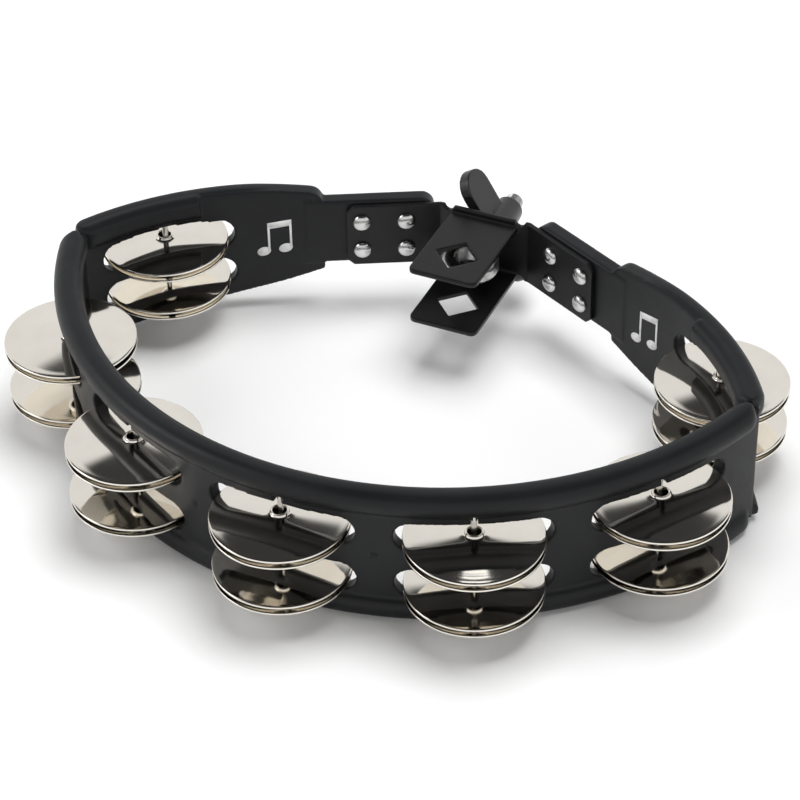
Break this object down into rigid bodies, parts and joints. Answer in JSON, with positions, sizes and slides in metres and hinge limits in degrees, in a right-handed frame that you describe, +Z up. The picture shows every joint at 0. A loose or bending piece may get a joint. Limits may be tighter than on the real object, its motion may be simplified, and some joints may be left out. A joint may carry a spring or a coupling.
{
  "type": "tambourine",
  "caption": "Mountable half-moon tambourine with a moulded frame, paired steel jingles on pins and an eyebolt clamp for a rod.",
  "frame": {"origin": "under the middle of the object's length and width, on the surface it rests on", "axes": "+Z up, +Y towards the clamp at the back, +X to the right seen from the front"},
  "size_m": [0.3152, 0.2637, 0.0638],
  "materials": {
    "moulded_plastic": "satin moulded black",
    "black_steel": "black powder coat",
    "jingle_nickel": "polished nickel",
    "rivet_zinc": "bright zinc",
    "bolt_zinc": "zinc plated",
    "pin_steel": "bright drawn",
    "black_nut": "satin black"
  },
  "bodies": {
    "frame_body": {"frame": "moulded_plastic", "bracket": "black_steel", "rivets_left": "rivet_zinc", "rivets_right": "rivet_zinc", "washer": "bolt_zinc", "pin_1": "pin_steel", "pin_2": "pin_steel", "pin_3": "pin_steel", "pin_4": "pin_steel", "pin_5": "pin_steel", "pin_6": "pin_steel", "pin_7": "pin_steel"},
    "wing_nut": {"wing_nut": "black_nut"},
    "eyebolt": {"eyebolt": "bolt_zinc"},
    "jingle_1_top_upper": {"jingle_1_top_upper": "jingle_nickel"},
    "jingle_1_top_lower": {"jingle_1_top_lower": "jingle_nickel"},
    "jingle_1_bottom_upper": {"jingle_1_bottom_upper": "jingle_nickel"},
    "jingle_1_bottom_lower": {"jingle_1_bottom_lower": "jingle_nickel"},
    "jingle_2_top_upper": {"jingle_2_top_upper": "jingle_nickel"},
    "jingle_2_top_lower": {"jingle_2_top_lower": "jingle_nickel"},
    "jingle_2_bottom_upper": {"jingle_2_bottom_upper": "jingle_nickel"},
    "jingle_2_bottom_lower": {"jingle_2_bottom_lower": "jingle_nickel"},
    "jingle_3_top_upper": {"jingle_3_top_upper": "jingle_nickel"},
    "jingle_3_top_lower": {"jingle_3_top_lower": "jingle_nickel"},
    "jingle_3_bottom_upper": {"jingle_3_bottom_upper": "jingle_nickel"},
    "jingle_3_bottom_lower": {"jingle_3_bottom_lower": "jingle_nickel"},
    "jingle_4_top_upper": {"jingle_4_top_upper": "jingle_nickel"},
    "jingle_4_top_lower": {"jingle_4_top_lower": "jingle_nickel"},
    "jingle_4_bottom_upper": {"jingle_4_bottom_upper": "jingle_nickel"},
    "jingle_4_bottom_lower": {"jingle_4_bottom_lower": "jingle_nickel"},
    "jingle_5_top_upper": {"jingle_5_top_upper": "jingle_nickel"},
    "jingle_5_top_lower": {"jingle_5_top_lower": "jingle_nickel"},
    "jingle_5_bottom_upper": {"jingle_5_bottom_upper": "jingle_nickel"},
    "jingle_5_bottom_lower": {"jingle_5_bottom_lower": "jingle_nickel"},
    "jingle_6_top_upper": {"jingle_6_top_upper": "jingle_nickel"},
    "jingle_6_top_lower": {"jingle_6_top_lower": "jingle_nickel"},
    "jingle_6_bottom_upper": {"jingle_6_bottom_upper": "jingle_nickel"},
    "jingle_6_bottom_lower": {"jingle_6_bottom_lower": "jingle_nickel"},
    "jingle_7_top_upper": {"jingle_7_top_upper": "jingle_nickel"},
    "jingle_7_top_lower": {"jingle_7_top_lower": "jingle_nickel"},
    "jingle_7_bottom_upper": {"jingle_7_bottom_upper": "jingle_nickel"},
    "jingle_7_bottom_lower": {"jingle_7_bottom_lower": "jingle_nickel"}
  },
  "joints": [
    {"name": "wing_nut_turn", "type": "hinge", "parent": "frame_body", "child": "wing_nut", "pos_m": [0, 0.10485, 0.0385], "axis": [0, -1, 0], "range_deg": [-3744, 0]},
    {"name": "eyebolt_slide", "type": "slide", "parent": "frame_body", "child": "eyebolt", "axis": [0, 1, 0], "range_m": [-0.0131, 0]},
    {"name": "jingle_1_top_upper_rattle", "type": "slide", "parent": "frame_body", "child": "jingle_1_top_upper", "axis": [0, 0, 1], "range_m": [-0.0019, 0.0041]},
    {"name": "jingle_1_top_lower_rattle", "type": "slide", "parent": "frame_body", "child": "jingle_1_top_lower", "axis": [0, 0, 1], "range_m": [-0.0001, 0.0019]},
    {"name": "jingle_1_bottom_upper_rattle", "type": "slide", "parent": "frame_body", "child": "jingle_1_bottom_upper", "axis": [0, 0, 1], "range_m": [-0.0019, 0.0041]},
    {"name": "jingle_1_bottom_lower_rattle", "type": "slide", "parent": "frame_body", "child": "jingle_1_bottom_lower", "axis": [0, 0, 1], "range_m": [-0.0001, 0.0019]},
    {"name": "jingle_2_top_upper_rattle", "type": "slide", "parent": "frame_body", "child": "jingle_2_top_upper", "axis": [0, 0, 1], "range_m": [-0.0019, 0.0041]},
    {"name": "jingle_2_top_lower_rattle", "type": "slide", "parent": "frame_body", "child": "jingle_2_top_lower", "axis": [0, 0, 1], "range_m": [-0.0001, 0.0019]},
    {"name": "jingle_2_bottom_upper_rattle", "type": "slide", "parent": "frame_body", "child": "jingle_2_bottom_upper", "axis": [0, 0, 1], "range_m": [-0.0019, 0.0041]},
    {"name": "jingle_2_bottom_lower_rattle", "type": "slide", "parent": "frame_body", "child": "jingle_2_bottom_lower", "axis": [0, 0, 1], "range_m": [-0.0001, 0.0019]},
    {"name": "jingle_3_top_upper_rattle", "type": "slide", "parent": "frame_body", "child": "jingle_3_top_upper", "axis": [0, 0, 1], "range_m": [-0.0019, 0.0041]},
    {"name": "jingle_3_top_lower_rattle", "type": "slide", "parent": "frame_body", "child": "jingle_3_top_lower", "axis": [0, 0, 1], "range_m": [-0.0001, 0.0019]},
    {"name": "jingle_3_bottom_upper_rattle", "type": "slide", "parent": "frame_body", "child": "jingle_3_bottom_upper", "axis": [0, 0, 1], "range_m": [-0.0019, 0.0041]},
    {"name": "jingle_3_bottom_lower_rattle", "type": "slide", "parent": "frame_body", "child": "jingle_3_bottom_lower", "axis": [0, 0, 1], "range_m": [-0.0001, 0.0019]},
    {"name": "jingle_4_top_upper_rattle", "type": "slide", "parent": "frame_body", "child": "jingle_4_top_upper", "axis": [0, 0, 1], "range_m": [-0.0019, 0.0041]},
    {"name": "jingle_4_top_lower_rattle", "type": "slide", "parent": "frame_body", "child": "jingle_4_top_lower", "axis": [0, 0, 1], "range_m": [-0.0001, 0.0019]},
    {"name": "jingle_4_bottom_upper_rattle", "type": "slide", "parent": "frame_body", "child": "jingle_4_bottom_upper", "axis": [0, 0, 1], "range_m": [-0.0019, 0.0041]},
    {"name": "jingle_4_bottom_lower_rattle", "type": "slide", "parent": "frame_body", "child": "jingle_4_bottom_lower", "axis": [0, 0, 1], "range_m": [-0.0001, 0.0019]},
    {"name": "jingle_5_top_upper_rattle", "type": "slide", "parent": "frame_body", "child": "jingle_5_top_upper", "axis": [0, 0, 1], "range_m": [-0.0019, 0.0041]},
    {"name": "jingle_5_top_lower_rattle", "type": "slide", "parent": "frame_body", "child": "jingle_5_top_lower", "axis": [0, 0, 1], "range_m": [-0.0001, 0.0019]},
    {"name": "jingle_5_bottom_upper_rattle", "type": "slide", "parent": "frame_body", "child": "jingle_5_bottom_upper", "axis": [0, 0, 1], "range_m": [-0.0019, 0.0041]},
    {"name": "jingle_5_bottom_lower_rattle", "type": "slide", "parent": "frame_body", "child": "jingle_5_bottom_lower", "axis": [0, 0, 1], "range_m": [-0.0001, 0.0019]},
    {"name": "jingle_6_top_upper_rattle", "type": "slide", "parent": "frame_body", "child": "jingle_6_top_upper", "axis": [0, 0, 1], "range_m": [-0.0019, 0.0041]},
    {"name": "jingle_6_top_lower_rattle", "type": "slide", "parent": "frame_body", "child": "jingle_6_top_lower", "axis": [0, 0, 1], "range_m": [-0.0001, 0.0019]},
    {"name": "jingle_6_bottom_upper_rattle", "type": "slide", "parent": "frame_body", "child": "jingle_6_bottom_upper", "axis": [0, 0, 1], "range_m": [-0.0019, 0.0041]},
    {"name": "jingle_6_bottom_lower_rattle", "type": "slide", "parent": "frame_body", "child": "jingle_6_bottom_lower", "axis": [0, 0, 1], "range_m": [-0.0001, 0.0019]},
    {"name": "jingle_7_top_upper_rattle", "type": "slide", "parent": "frame_body", "child": "jingle_7_top_upper", "axis": [0, 0, 1], "range_m": [-0.0019, 0.0041]},
    {"name": "jingle_7_top_lower_rattle", "type": "slide", "parent": "frame_body", "child": "jingle_7_top_lower", "axis": [0, 0, 1], "range_m": [-0.0001, 0.0019]},
    {"name": "jingle_7_bottom_upper_rattle", "type": "slide", "parent": "frame_body", "child": "jingle_7_bottom_upper", "axis": [0, 0, 1], "range_m": [-0.0019, 0.0041]},
    {"name": "jingle_7_bottom_lower_rattle", "type": "slide", "parent": "frame_body", "child": "jingle_7_bottom_lower", "axis": [0, 0, 1], "range_m": [-0.0001, 0.0019]}
  ],
  "couplings": [
    {"joint": "eyebolt_slide", "follows": "wing_nut_turn", "m_per_rad": 0.00019894}
  ]
}
